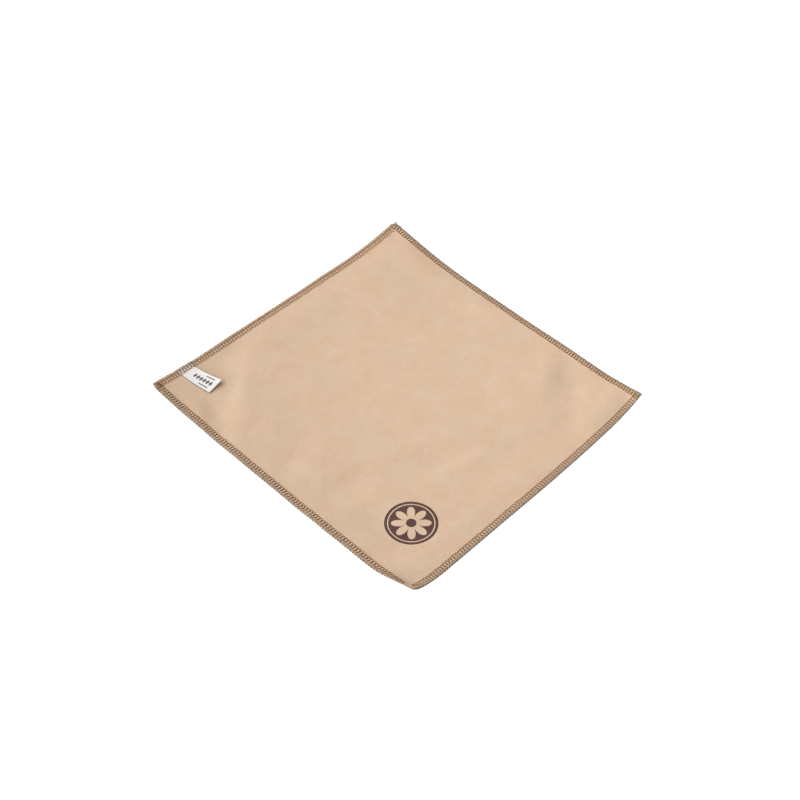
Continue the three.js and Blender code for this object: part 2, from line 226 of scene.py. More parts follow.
LOWER_STITCH = (
    (0.30, 0.01, 0.00),
    (0.29, 0.09, 0.50),
    (0.24, 0.24, 0.58),
    (0.36, 0.37, 0.72),
    (0.64, 0.37, 0.72),
    (0.76, 0.24, 0.58),
    (0.71, 0.09, 0.50),
    (0.70, 0.01, 0.00),
    (0.72, 0.10, -0.50),
    (0.82, 0.50, -0.50),
    (0.93, 0.86, -0.50),
    (1.00, 0.98, -0.50),
    (1.07, 0.86, -0.50),
    (1.18, 0.50, -0.50),
    (1.28, 0.10, -0.50),
)
NEEDLE_STITCH = (
    (0.03, 1.00, -0.10),
    (0.09, 1.00, 0.42),
    (0.25, 1.02, 0.50),
    (0.75, 1.02, 0.50),
    (0.91, 1.00, 0.42),
    (0.97, 1.00, -0.10),
    (0.96, 1.02, -0.46),
    (0.92, 0.95, -0.72),
    (1.08, 0.95, -0.72),
    (1.04, 1.02, -0.46),
)
# The cut ends of the thread chains at three corners: the corner as shares of the width and depth,
# the step from its tip to the knot's middle, the knot's radius and its colour.
CHAIN_ENDS = (
    ("rear_right_chain_knot", (1, 1), (0.75 * MM, -0.45 * MM, 0.2 * MM), 1.3 * MM, "A69E92"),
    ("front_right_chain_knot", (1, 0), (-0.9 * MM, -0.55 * MM, 0.1 * MM), 1.15 * MM, "B0AAA0"),
    ("rear_left_chain_knot", (0, 1), (0.25 * MM, -0.45 * MM, 0.1 * MM), 0.95 * MM, "A0968A"),
)
# How far a stitch strays from even: along the seam, across it, and the seed of the draws.
STRAY_ALONG = 0.035
STRAY_ACROSS = 0.02
THREAD_SEED = 7

# The thread that leads from the front seam into the left one: its inset, the radius of its turn
# round the corner, the step from there to its next point, its end in each seam, and its colour.
LEAD_INSET = 0.05 * MM
LEAD_TURN = 1.2 * MM
LEAD_STEP = 0.4 * MM
LEAD_FRONT_END = 3.6 * MM
LEAD_LEFT_END = 7.8 * MM
LEAD_COLOUR = "5E4E3D"

# The label's ribbon: where its ends lie in the seam, and where it bends and over what stretch, all
# from the outer edge, the height of that bend, its thickness, the gap between its halves at the
# seam and what the middle adds to that, and the radius of its fold.
TAIL_INSET = 0.4 * MM
BEND_INSET = 5.1 * MM
BEND_START = 4.7 * MM
BEND_END = 5.9 * MM
BEND_HEIGHT = 0.4 * MM
PLY = 0.13 * MM
ROOT_SPLIT = 0.15 * MM
MIDDLE_SPLIT = 0.3 * MM
FOLD_RADIUS = 0.3 * MM
# How the label lies: its step up off the stitches, the lift of its end's near and far corner, the
# bow up of its far edge, its drift to the right and how much more of that the far edge has, its
# bow to the left, and how far the end's far corner is drawn back.
STEP_START = 4.4 * MM
STEP_LENGTH = 1 * MM
STEP_UP = 0.12 * MM
NEAR_LIFT = 0.4 * MM
FAR_LIFT = 2.5 * MM
FAR_BOW = 0.5 * MM
DRIFT = 3 * MM
FAR_DRIFT = 0.7 * MM
SIDE_BOW = 0.5 * MM
FAR_BACK = 1.0 * MM
# The ribbon's cells across and along, the power by which they crowd towards its fold, and the least
# angle of an edge that isn't smooth.
RIBBON_CELLS = (10, 96)
CROWDING = 1.5
RIBBON_ANGLE = math.radians(50)


def linear(hex_colour):
    """The linear colour of an sRGB hex value."""
    channels = [int(hex_colour[i : i + 2], 16) / 255 for i in (0, 2, 4)]
    return tuple(c / 12.92 if c <= 0.04045 else ((c + 0.055) / 1.055) ** 2.4 for c in channels)


def length(name, description, default):
    """A property that holds a length."""
    return FloatProperty(
        name=name, description=description, default=default, min=0, unit="LENGTH", precision=5
    )


def angle(name, description, degrees):
    """A property that holds an angle."""
    return FloatProperty(
        name=name, description=description, default=math.radians(degrees), unit="ROTATION"
    )


def colour(name, description, hex_colour):
    """A property that holds a colour."""
    return FloatVectorProperty(
        name=name,
        description=description,
        default=linear(hex_colour),
        min=0,
        max=1,
        size=3,
        subtype="COLOR",
    )


class ClothSizes(bpy.types.PropertyGroup):
    """The cut sizes of the cloth, its threads and its label"""

    width: length("Width", "Length of the front side over its seams", 195 * MM)
    depth: length("Depth", "Length of the left side over its seams", 205 * MM)
    thickness: length("Thickness", "Thickness of the knitted fabric", 0.5 * MM)
    cell: length("Cell", "Mesh spacing of the panel", 1.2 * MM)
    seam_depth: length("Seam depth", "Reach of the stitches in from the cut edge", 4.15 * MM)
    pitch: length("Stitch pitch", "Length of one stitch along the seam", 1.89 * MM)
    upper: length("Upper looper", "Diameter of the upper looper thread", 0.35 * MM)
    lower: length("Lower looper", "Diameter of the bulkier lower looper thread", 0.42 * MM)
    needle: length("Needle thread", "Diameter of the needle thread", 0.22 * MM)
    label_start: length("Label place", "Distance from the rear left corner", 17.9 * MM)
    label_width: length("Label width", "Width of the satin ribbon", 10.1 * MM)
    label_length: length("Label length", "Length of the folded label past the seam", 20.9 * MM)
    print_radius: length("Print radius", "Radius of the printed rosette", 14.4 * MM)


class ClothColours(bpy.types.PropertyGroup):
    """The colours of the cloth, its threads, its label and its print"""

    fabric_cool: colour("Cool fabric", "Beige of the dyed microfibre at its palest", "CDB49C")
    fabric_warm: colour("Warm fabric", "Beige of the dyed microfibre at its warmest", "CFB39A")
    fabric_shade: colour("Fabric shade", "Multiplies the beige where the nap lies flat", "F0EAE2")
    # The upper looper's brown is painted darker, as the shade on its arms. The lower looper's is
    # painted paler and greyer, as the highlight where the edge threads catch the light, and the
    # needle thread's is painted paler, as light along the inner line.
    upper: colour("Upper looper", "Brown of the thread that loops over the face", "8E6239")
    lower: colour("Lower looper", "Greyer brown of the thread that wraps the edge", "C6B29B")
    needle: colour("Needle thread", "Lighter brown of the inner line of stitches", "E2C29C")
    label: colour("Label", "White of the satin ribbon", "DEDAD5")
    # Partly the woven edges' own grey, partly painted shade along the label's edges.
    selvedge_and_shade: colour("Label edges", "Grey of the ribbon's two woven edges", "A8A39C")
    marks: colour("Label marks", "Grey of the label's printed marks", "55565C")
    ink: colour("Print", "Dark brown of the round print", "533A36")


class StudioSettings(bpy.types.PropertyGroup):
    """The camera and the light"""

    azimuth: angle("Azimuth", "Camera's turn round the cloth", -45.56)
    elevation: angle("Elevation", "Camera's height as an angle", 47.17)
    roll: angle("Roll", "Camera's tilt", 0.45)
    distance: length("Distance", "From the camera to its aim", 900 * MM)
    lens: FloatProperty(name="Lens", description="Focal length in millimetres", default=71.45)
    sky: FloatProperty(name="Sky", description="Strength of the even white light", default=0.225)
    key: FloatProperty(name="Key", description="Strength of the light from the left", default=4.8)
    top: FloatProperty(name="Top", description="Power of the soft box overhead in W", default=0.231)
    key_height: angle("Key height", "Height of the light from the left as an angle", 29)
    key_turn: angle("Key turn", "Turn of the light from the left round the cloth, from +X", 135)


class Lie:
    """How the flat cloth lies on the table, with curled corners and soft folds."""

    def __init__(self, sizes):
        self.width = sizes.width
        self.depth = sizes.depth
        self.thickness = sizes.thickness
        self.offset = np.zeros(2)
        samples = 200
        x = np.linspace(CUT_INSET, self.width - CUT_INSET, samples)
        y = np.linspace(CUT_INSET, self.depth - CUT_INSET, samples)
        flat = np.stack(self.plan(*np.meshgrid(x, y)), axis=-1).reshape(-1, 2)
        middle = (flat.min(axis=0) + flat.max(axis=0)) / 2
        packed = np.array((PANEL_BOX[0] + PANEL_BOX[1]) / 2)[:2]
        self.offset = packed - middle

    def from_corners(self, x, y):
        """For each corner, the distances from its two sides, and the ways in from it."""
        right, rear = self.width - x, self.depth - y
        return {
            "front_left": (x, y, 1, 1),
            "front_right": (right, y, -1, 1),
            "rear_left": (x, rear, 1, -1),
            "rear_right": (right, rear, -1, -1),
        }

    def from_side(self, side, x, y):
        """The run along a side and the inset from it."""
        return {
            "rear": (x, self.depth - y),
            "right": (y, self.width - x),
            "front": (x, y),
            "left": (y, x),
        }[side]

    def plan(self, x, y):
        """The place on the table, from the corners and the bowed sides."""
        p, q = x / self.width, y / self.depth
        plan_x = x + (BOWS["right"] * p - BOWS["left"] * (1 - p)) * 4 * q * (1 - q) + self.offset[0]
        plan_y = y + (BOWS["rear"] * q - BOWS["front"] * (1 - q)) * 4 * p * (1 - p) + self.offset[1]
        for name, (aside, off, way_x, way_y) in self.from_corners(x, y).items():
            corner = CORNERS[name]
            share = (1 - aside / self.width) * (1 - off / self.depth)
            near = np.clip(1 - (aside + off) / corner["shift_reach"], 0, 1) ** 2
            close = np.clip(1 - aside / corner["tuck_reach"], 0, 1)
            close = close * np.clip(1 - off / corner["tuck_reach"], 0, 1)
            tuck = corner["tuck"] * close**2
            plan_x = plan_x + corner["pull"][0] * share + corner["shift"][0] * near + way_x * tuck
            plan_y = plan_y + corner["pull"][1] * share + corner["shift"][1] * near + way_y * tuck
        return plan_x, plan_y

    def relief(self, x, y):
        """The height of the fabric's underside over the table."""
        height = -SETTLED
        for name, (aside, off, _, _) in self.from_corners(x, y).items():
            corner = CORNERS[name]
            near = np.clip(1 - (aside + off) / corner["reach"], 0, None)
            height = height + corner["lift"] * near**2
        for (share_x, share_y), run, half_length, half_width, rise in FOLDS:
            turn = math.radians(run)
            dx, dy = x - share_x * self.width, y - share_y * self.depth
            along = (dx * math.cos(turn) + dy * math.sin(turn)) / half_length
            across = (dy * math.cos(turn) - dx * math.sin(turn)) / half_width
            height = height + rise * np.exp(-(along**2) - across**2)
        for side, place, half_length, reach, lift in WAVES:
            run, inset = self.from_side(side, x, y)
            crest = lift * np.exp(-(((run - place) / half_length) ** 2))
            height = height + crest * np.clip(1 - inset / reach, 0, 1) ** 2
        inset = np.minimum(np.minimum(x, self.width - x), np.minimum(y, self.depth - y))
        rest = np.clip(1 - (inset - EDGE_WIDTH) / EDGE_REACH, 0, 1)
        lying = (height + np.sqrt(height**2 + SOFTNESS**2)) / 2
        return lying + EDGE_RISE * rest**2

    def middle_layer(self, x, y):
        """Points half way through the fabric."""
        plan_x, plan_y = self.plan(x, y)
        return np.stack([plan_x, plan_y, self.relief(x, y) + self.thickness / 2], axis=-1)

    def place(self, x, y, height):
        """Points that stand height off the fabric's middle layer, square to it."""
        x, y = np.asarray(x, float), np.asarray(y, float)
        step = 0.2 * MM
        run = self.middle_layer(x + step, y) - self.middle_layer(x - step, y)
        rise = self.middle_layer(x, y + step) - self.middle_layer(x, y - step)
        normal = np.cross(run, rise)
        normal /= np.linalg.norm(normal, axis=-1, keepdims=True)
        return self.middle_layer(x, y) + normal * np.asarray(height)[..., None]


def deselect():
    """Leaves nothing selected, because operators act on all that is."""
    bpy.ops.object.select_all(action="DESELECT")


def apply_modifier(piece, kind, **settings):
    """Adds a modifier to the active piece and applies it."""
    modifier = piece.modifiers.new(kind.title(), kind)
    for name, value in settings.items():
        setattr(modifier, name, value)
    bpy.ops.object.modifier_apply(modifier=modifier.name)


def set_vertices(piece, points):
    """Moves a mesh's vertices, all at once."""
    piece.data.vertices.foreach_set("co", np.asarray(points, np.float32).ravel())
    piece.data.update()


def grid(name, columns, rows):
    """A unit grid of so many cells with a UV map, and its vertices' shares across and along."""
    deselect()
    bpy.ops.mesh.primitive_grid_add(
        x_subdivisions=columns, y_subdivisions=rows, size=1, calc_uvs=True
    )
    piece = bpy.context.active_object
    piece.name = piece.data.name = name
    corners = np.array([v.co for v in piece.data.vertices])
    return piece, corners[:, 0] + 0.5, corners[:, 1] + 0.5


def uv_array(piece):
    """The piece's UV map as an array, a row for each face corner."""
    values = np.zeros(len(piece.data.loops) * 2, np.float32)
    piece.data.uv_layers[0].data.foreach_get("uv", values)
    return values.reshape(-1, 2)


def set_uvs(piece, values):
    """Writes the piece's UV map."""
    piece.data.uv_layers[0].data.foreach_set("uv", np.asarray(values, np.float32).ravel())


# Materials


def add(tree, kind, inputs=None, **settings):
    """Adds a node with its settings, and fills or links its inputs."""
    node = tree.nodes.new(kind)
    for name, value in settings.items():
        setattr(node, name, value)
    for socket, value in (inputs or {}).items():
        if isinstance(value, bpy.types.NodeSocket):
            tree.links.new(value, node.inputs[socket])
        else:
            node.inputs[socket].default_value = value
    return node


def start_material(name):
    """An empty node material."""
    material = bpy.data.materials.new(name)
    material.use_nodes = True
    material.node_tree.nodes.clear()
    return material, material.node_tree


def rgba(value):
    """A colour with full alpha."""
    return (*value, 1)


def flat_millimetres(tree, width, depth):
    """The flat piece's own coordinates in millimetres, from its UV map."""
    coordinates = add(tree, "ShaderNodeTexCoord")
    scaled = add(
        tree,
        "ShaderNodeMapping",
        {"Vector": coordinates.outputs["UV"], "Scale": (width / MM, depth / MM, 1)},
    )
    return scaled.outputs["Vector"]


def rosette_mask(tree, flat, centre, radius):
    """1 where the round print has ink: a disc with a ring and an eight petalled flower left bare.

    The ink's edge strays by the bleed, in millimetres. The lower the petals' power, the fuller
    they are.
    """
    bleed_size, petals, petal_power = 0.16, 8, 0.62
    petal_length, petal_root, heart = 0.52 * radius, 0.23 * radius, 0.2 * radius
    ring_radius, ring_half_width = 0.87 * radius, 0.022 * radius
    centred = add(
        tree, "ShaderNodeVectorMath", {0: flat, 1: (*centre, 0)}, operation="SUBTRACT"
    ).outputs[0]
    noise = {"Vector": flat, "Scale": 3.0, "Detail": 2.0}
    bleed = add(tree, "ShaderNodeTexNoise", noise).outputs[0]
    reach = add(tree, "ShaderNodeVectorMath", {0: centred}, operation="LENGTH").outputs["Value"]
    reach = add(
        tree, "ShaderNodeMath", {0: bleed, 1: bleed_size, 2: reach}, operation="MULTIPLY_ADD"
    ).outputs[0]
    axes = add(tree, "ShaderNodeSeparateXYZ", {0: centred}).outputs
    turn = add(tree, "ShaderNodeMath", {0: axes[1], 1: axes[0]}, operation="ARCTAN2").outputs[0]
    turn = add(tree, "ShaderNodeMath", {0: turn, 1: petals / 2}, operation="MULTIPLY").outputs[0]
    petal = add(tree, "ShaderNodeMath", {0: turn}, operation="COSINE").outputs[0]
    petal = add(tree, "ShaderNodeMath", {0: petal}, operation="ABSOLUTE").outputs[0]
    petal = add(tree, "ShaderNodeMath", {0: petal, 1: petal_power}, operation="POWER").outputs[0]
    tip = add(
        tree, "ShaderNodeMath", {0: petal, 1: petal_length, 2: petal_root}, operation="MULTIPLY_ADD"
    ).outputs[0]
    in_petal = add(tree, "ShaderNodeMath", {0: reach, 1: tip}, operation="LESS_THAN").outputs[0]
    off_heart = add(
        tree, "ShaderNodeMath", {0: reach, 1: heart}, operation="GREATER_THAN"
    ).outputs[0]
    flower = add(
        tree, "ShaderNodeMath", {0: in_petal, 1: off_heart}, operation="MULTIPLY"
    ).outputs[0]
    ring = add(
        tree, "ShaderNodeMath", {0: reach, 1: ring_radius, 2: ring_half_width}, operation="COMPARE"
    ).outputs[0]
    bare = add(tree, "ShaderNodeMath", {0: flower, 1: ring}, operation="MAXIMUM").outputs[0]
    disc = add(tree, "ShaderNodeMath", {0: reach, 1: radius}, operation="LESS_THAN").outputs[0]
    return add(
        tree, "ShaderNodeMath", {0: disc, 1: bare}, operation="SUBTRACT", use_clamp=True
    ).outputs[0]


def brushed_microfibre(name, sizes, colours, printed):
    """Polyester microfibre knit with a brushed, suede-like face: matt, with a faint bloom.

    The nap's hairs are far finer than the render shows, so they are drawn as streaks 0.5 mm wide.
    The nap lies this way and that in clouds, and the dye varies. All sizes are in millimetres.
    """
    streak_width, streak_length, cloud_size, dye_size = 0.5, 1.1, 13, 26
    nap_share = 0.62
    material, tree = start_material(name)
    flat = flat_millimetres(tree, sizes.width, sizes.depth)
    cloud = add(
        tree,
        "ShaderNodeTexNoise",
        {"Vector": flat, "Scale": 1 / cloud_size, "Detail": 4.0, "Roughness": 0.85},
    )
    streaks = add(
        tree,
        "ShaderNodeMapping",
        {"Vector": flat, "Scale": (1 / streak_width, 1 / streak_length, 1)},
    )
    nap = add(
        tree,
        "ShaderNodeTexNoise",
        {"Vector": streaks.outputs[0], "Scale": 1.0, "Detail": 4.0, "Roughness": 0.7},
    )
    lie = add(
        tree,
        "ShaderNodeMath",
        {0: nap.outputs["Fac"], 1: nap_share, 2: cloud.outputs["Fac"]},
        operation="MULTIPLY_ADD",
    )
    share = add(
        tree, "ShaderNodeMapRange", {"Value": lie.outputs[0], "From Min": 0.53, "From Max": 1.1}
    )
    dye = add(
        tree,
        "ShaderNodeTexNoise",
        {"Vector": flat, "Scale": 1 / dye_size, "Detail": 2.0, "Roughness": 0.6},
    )
    warmth = add(
        tree, "ShaderNodeMapRange", {"Value": dye.outputs["Fac"], "From Min": 0.3, "From Max": 0.7}
    )
    tone = add(
        tree,
        "ShaderNodeMix",
        {0: warmth.outputs[0], 6: rgba(colours.fabric_cool), 7: rgba(colours.fabric_warm)},
        data_type="RGBA",
    ).outputs[2]
    tone = add(
        tree,
        "ShaderNodeMix",
        {0: share.outputs[0], 6: tone, 7: rgba(colours.fabric_shade)},
        data_type="RGBA",
        blend_type="MULTIPLY",
    ).outputs[2]
    if printed:
        ink = rosette_mask(tree, flat, PRINT_CENTRE, sizes.print_radius / MM)
        tone = add(
            tree, "ShaderNodeMix", {0: ink, 6: tone, 7: rgba(colours.ink)}, data_type="RGBA"
        ).outputs[2]
    relief = add(
        tree,
        "ShaderNodeBump",
        {"Height": nap.outputs["Fac"], "Strength": 0.5, "Distance": 0.12 * MM},
    )
    surface = add(
        tree,
        "ShaderNodeBsdfPrincipled",
        {
            "Base Color": tone,
            "Roughness": 0.94,
            "Specular IOR Level": 0.15,
            "Sheen Weight": 0.12,
            "Sheen Roughness": 0.6,
            "Sheen Tint": rgba(linear("FFF1E2")),
            "Normal": relief.outputs[0],
        },
    )
    add(tree, "ShaderNodeOutputMaterial", {"Surface": surface.outputs[0]})
    return material


def spun_thread(name, tint, diameter):
    """Textured polyester thread: two plies, soft, with a dull lustre along their twist.

    The UV map runs along the thread in diameters and once round it. Its colour is painted darker in
    the grooves between the plies, as shade, and lighter on their crowns, as highlight.
    """
    turns_a_diameter, plies, ply_share = 0.45, 2, 0.35
    material, tree = start_material(name)
    coordinates = add(tree, "ShaderNodeTexCoord")
    axes = add(tree, "ShaderNodeSeparateXYZ", {0: coordinates.outputs["UV"]}).outputs
    turn = add(
        tree,
        "ShaderNodeMath",
        {0: axes[0], 1: turns_a_diameter, 2: axes[1]},
        operation="MULTIPLY_ADD",
    )
    ply = add(
        tree, "ShaderNodeMath", {0: turn.outputs[0], 1: plies * 2 * math.pi}, operation="MULTIPLY"
    )
    strand = add(tree, "ShaderNodeMath", {0: ply.outputs[0]}, operation="SINE")
    fibres = add(
        tree,
        "ShaderNodeTexNoise",
        {"Vector": coordinates.outputs["UV"], "Scale": 2.2, "Detail": 3.0, "Roughness": 0.7},
    )
    height = add(
        tree,
        "ShaderNodeMath",
        {0: strand.outputs[0], 1: ply_share, 2: fibres.outputs["Fac"]},
        operation="MULTIPLY_ADD",
    )
    # Painted shade and highlight: the colour darkens in the grooves between the plies and lightens
    # on their crowns.
    ply_shade_and_highlight = add(
        tree,
        "ShaderNodeMapRange",
        {
            "Value": height.outputs[0],
            "From Min": 0.1,
            "From Max": 0.9,
            "To Min": 0.72,
            "To Max": 1.12,
        },
    )
    tone = add(
        tree, "ShaderNodeVectorMath", {0: tint, "Scale": ply_shade_and_highlight.outputs[0]}, operation="SCALE"
    )
    relief = add(
        tree,
        "ShaderNodeBump",
        {"Height": height.outputs[0], "Strength": 0.6, "Distance": 0.15 * diameter},
    )
    surface = add(
        tree,
        "ShaderNodeBsdfPrincipled",
        {
            "Base Color": tone.outputs[0],
            "Roughness": 0.48,
            "Specular IOR Level": 0.5,
            "Sheen Weight": 0.08,
            "Sheen Roughness": 0.4,
            "Normal": relief.outputs[0],
        },
    )
    add(tree, "ShaderNodeOutputMaterial", {"Surface": surface.outputs[0]})
    return material


def satin_ribbon(name, sizes, colours, ribbon_length):
    """White polyester satin ribbon: smooth and close, with a soft lustre across its fine ribs.

    Its ribs are about 0.1 mm apart, and are drawn 0.3 mm apart so that they show.
    """
    rib_pitch, selvedge_width = 0.3, 0.3
    half_length, half_width = ribbon_length / MM / 2, sizes.label_width / MM / 2
    material, tree = start_material(name)
    flat = flat_millimetres(tree, sizes.label_width, ribbon_length)
    across, along, _ = add(tree, "ShaderNodeSeparateXYZ", {0: flat}).outputs
    from_fold = add(
        tree, "ShaderNodeMath", {0: along, 1: half_length}, operation="SUBTRACT"
    ).outputs[0]
    off_centre = add(
        tree, "ShaderNodeMath", {0: across, 1: half_width}, operation="SUBTRACT"
    ).outputs[0]
    marks = label_marks(tree, from_fold, off_centre)
    aside = add(tree, "ShaderNodeMath", {0: off_centre}, operation="ABSOLUTE").outputs[0]
    # The woven edges take the grey, which also stands as painted shade along the label's edges.
    edge = add(
        tree, "ShaderNodeMath", {0: aside, 1: half_width - selvedge_width}, operation="GREATER_THAN"
    ).outputs[0]
    tone = add(
        tree,
        "ShaderNodeMix",
        {0: edge, 6: rgba(colours.label), 7: rgba(colours.selvedge_and_shade)},
        data_type="RGBA",
    ).outputs[2]
    tone = add(
        tree, "ShaderNodeMix", {0: marks, 6: tone, 7: rgba(colours.marks)}, data_type="RGBA"
    ).outputs[2]
    ribs = add(tree, "ShaderNodeMath", {0: along, 1: 2 * math.pi / rib_pitch}, operation="MULTIPLY")
    ribs = add(tree, "ShaderNodeMath", {0: ribs.outputs[0]}, operation="SINE")
    relief = add(
        tree, "ShaderNodeBump", {"Height": ribs.outputs[0], "Strength": 0.25, "Distance": 0.02 * MM}
    )
    surface = add(
        tree,
        "ShaderNodeBsdfPrincipled",
        {
            "Base Color": tone,
            "Roughness": 0.42,
            "Specular IOR Level": 0.45,
            "Sheen Weight": 0.15,
            "Normal": relief.outputs[0],
        },
    )
    add(tree, "ShaderNodeOutputMaterial", {"Surface": surface.outputs[0]})
    return material


def label_marks(tree, from_fold, off_centre):
    """1 where the label is marked: diamonds along its middle, with a short line on each side.

    Lengths are in millimetres, and places along the ribbon are counted from its fold.
    """
    pitch, half_height, half_length = 2.3, 1.8, 1.1
    row_middle, row_half = 4 * pitch, 3 * pitch
    line_place, line_half_width, line_middle, line_half_length = 3.1, 0.32, 6.2, 3.2
    cell = add(
        tree, "ShaderNodeMath", {0: from_fold, 1: pitch}, operation="FLOORED_MODULO"
    ).outputs[0]
    cell = add(tree, "ShaderNodeMath", {0: cell, 1: pitch / 2}, operation="SUBTRACT").outputs[0]
    cell = add(tree, "ShaderNodeMath", {0: cell}, operation="ABSOLUTE").outputs[0]
    aside = add(tree, "ShaderNodeMath", {0: off_centre}, operation="ABSOLUTE").outputs[0]
    slope = add(
        tree,
        "ShaderNodeMath",
        {0: cell, 1: half_height / half_length, 2: aside},
        operation="MULTIPLY_ADD",
    ).outputs[0]
    diamond = add(
        tree, "ShaderNodeMath", {0: slope, 1: half_height}, operation="LESS_THAN"
    ).outputs[0]
    row = add(
        tree, "ShaderNodeMath", {0: from_fold, 1: row_middle, 2: row_half}, operation="COMPARE"
    ).outputs[0]
    diamonds = add(tree, "ShaderNodeMath", {0: diamond, 1: row}, operation="MULTIPLY").outputs[0]
    line = add(
        tree, "ShaderNodeMath", {0: aside, 1: line_place, 2: line_half_width}, operation="COMPARE"
    ).outputs[0]
    short = add(
        tree,
        "ShaderNodeMath",
        {0: from_fold, 1: line_middle, 2: line_half_length},
        operation="COMPARE",
    ).outputs[0]
    lines = add(tree, "ShaderNodeMath", {0: line, 1: short}, operation="MULTIPLY").outputs[0]
    return add(tree, "ShaderNodeMath", {0: diamonds, 1: lines}, operation="MAXIMUM").outputs[0]


# Panel


class CLOTH_OT_panel(bpy.types.Operator):
    """Make the knitted panel, laid in its curls and folds, with its printed rosette"""

    bl_idname = "cloth.make_panel"
    bl_label = "Knitted Panel"

    def execute(self, context):
        sizes, colours = context.scene.cloth_sizes, context.scene.cloth_colours
        lie = Lie(sizes)
        columns = round((sizes.width - 2 * CUT_INSET) / sizes.cell)
        rows = round((sizes.depth - 2 * CUT_INSET) / sizes.cell)
        panel, across, along = grid("knitted_panel", columns, rows)
        x = CUT_INSET + across * (sizes.width - 2 * CUT_INSET)
        y = CUT_INSET + along * (sizes.depth - 2 * CUT_INSET)
        set_vertices(panel, lie.middle_layer(x, y))
        inset = np.array([CUT_INSET / sizes.width, CUT_INSET / sizes.depth])
        set_uvs(panel, inset + uv_array(panel) * (1 - 2 * inset))
        apply_modifier(
            panel,
            "SOLIDIFY",
            thickness=sizes.thickness,
            offset=0,
            material_offset=1,
            material_offset_rim=1,
        )
        bpy.ops.object.mode_set(mode="EDIT")
        bpy.ops.mesh.select_all(action="DESELECT")
        bpy.ops.mesh.edges_select_sharp(sharpness=RIM_ANGLE)
        bpy.ops.mesh.bevel(offset=RIM_ROUNDING, segments=2, material=1)
        bpy.ops.object.mode_set(mode="OBJECT")
        bpy.ops.object.shade_smooth_by_angle(angle=RIM_ANGLE)
        for name, printed in (("printed brushed microfibre", True), ("brushed microfibre", False)):
            panel.data.materials.append(brushed_microfibre(name, sizes, colours, printed))
        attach(panel, "root")
        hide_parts("cloth_panel")
        return {"FINISHED"}


# Seams


def seam_table(sizes):
    """Each seam's name, its start and end along its side, and its place on the flat cloth."""
    width, depth = sizes.width, sizes.depth
    rear_stop = sizes.seam_depth + REAR_SEAM_GAP
    return (
        ("rear", THREAD_INSET, width - rear_stop, lambda run, inset: (run, depth - inset)),
        ("right", THREAD_INSET, depth - THREAD_INSET, lambda run, inset: (width - inset, run)),
        ("front", FRONT_SEAM_START, width - FRONT_SEAM_STOP, lambda run, inset: (run, inset)),
        ("left", LEFT_SEAM_START, depth - LEFT_SEAM_STOP, lambda run, inset: (inset, run)),
    )


def extra_rise(sizes, name, run):
    """How much higher the stitches lie over the label's ends and where a seam crosses another."""
    if name == "rear":
        outside = np.maximum(sizes.label_start - run, run - sizes.label_start - sizes.label_width)
        return LABEL_RISE * np.clip(1 - outside / (LABEL_CLIMB * sizes.pitch), 0, 1)
    if name in ("front", "left"):
        end, crossed = (sizes.width, "right") if name == "front" else (sizes.depth, "rear")
        outside = end - SEAM_SHARES[crossed][0] * sizes.seam_depth - run
        return CROSSING_RISE * np.clip(1 - outside / (CROSSING_CLIMB * sizes.pitch), 0, 1)
    return np.zeros_like(run)


def thread_path(lie, sizes, seam, stitch, diameter, draws):
    """The thread's route through every stitch of a seam."""
    name, start, end, at = seam
    count = round((end - start) / sizes.pitch)
    pitch = (end - start) / count
    shares, insets, levels = np.array(stitch).T
    along = np.arange(count)[:, None] + shares[None, :] + draws.normal(0, STRAY_ALONG, (count, 1))
    whole, first = SEAM_SHARES[name]
    broad = whole * (first + (1 - first) * np.clip(along * pitch / WIDENING, 0, 1))
    stray = 1 + draws.normal(0, STRAY_ACROSS, (count, 1))
    inset = THREAD_INSET + insets[None, :] * sizes.seam_depth * broad * stray
    run = np.clip(start + along * pitch, start, end)
    height = np.broadcast_to(levels[None, :] * (sizes.thickness + diameter), run.shape)
    height = height + extra_rise(sizes, name, run) * np.clip(2 * levels[None, :], 0, 1)
    x, y = at(run, inset)
    return lie.place(x, y, height).reshape(-1, 3)


